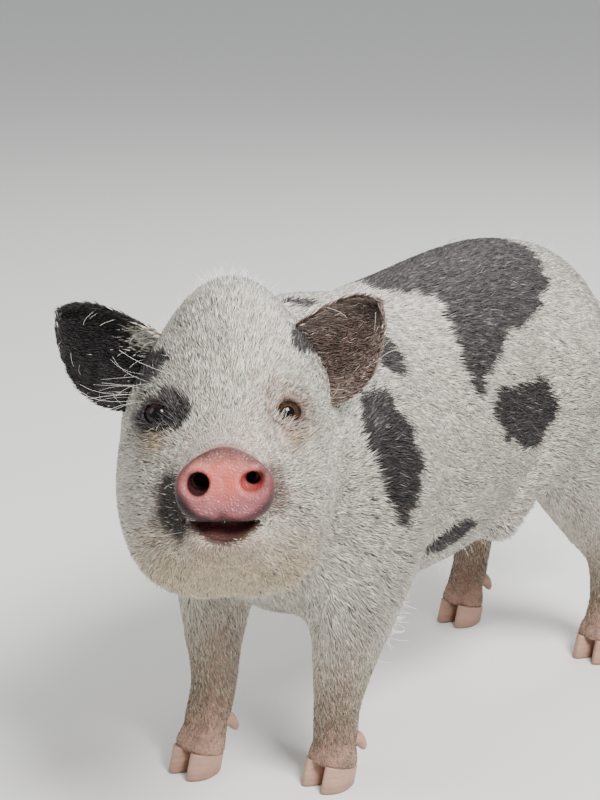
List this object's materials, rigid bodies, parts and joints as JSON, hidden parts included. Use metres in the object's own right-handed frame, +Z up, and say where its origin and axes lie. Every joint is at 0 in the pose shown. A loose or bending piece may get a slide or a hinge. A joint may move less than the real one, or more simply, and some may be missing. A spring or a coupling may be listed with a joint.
{
  "type": "domestic pig figure",
  "caption": "Life-size still figure of a young spotted miniature pig, standing on four feet with its head turned to its left.",
  "frame": {"origin": "middle of the bounding box, on the floor the hooves rest on", "axes": "the pig faces -Y, its left side is +X, +Z is up"},
  "size_m": [0.2316, 0.5338, 0.3338],
  "materials": {
    "skin": "satin",
    "ear_skin": "satin",
    "leg_skin": "satin",
    "horn": "satin",
    "eye": "gloss"
  },
  "bodies": {
    "root": {"ear_left": "ear_skin", "ear_right": "ear_skin", "eye_left": "eye", "eye_right": "eye", "forefoot_left_dewclaw_a": "horn", "forefoot_left_dewclaw_b": "horn", "forefoot_left_hoof_a": "horn", "forefoot_left_hoof_b": "horn", "forefoot_right_dewclaw_a": "horn", "forefoot_right_dewclaw_b": "horn", "forefoot_right_hoof_a": "horn", "forefoot_right_hoof_b": "horn", "foreleg_left": "leg_skin", "foreleg_right": "leg_skin", "head": "skin", "hindfoot_left_dewclaw_a": "horn", "hindfoot_left_dewclaw_b": "horn", "hindfoot_left_hoof_a": "horn", "hindfoot_left_hoof_b": "horn", "hindfoot_right_dewclaw_a": "horn", "hindfoot_right_dewclaw_b": "horn", "hindfoot_right_hoof_a": "horn", "hindfoot_right_hoof_b": "horn", "hindleg_left": "leg_skin", "hindleg_right": "leg_skin", "neck": "skin", "tail": "skin", "torso": "skin"}
  },
  "joints": []
}
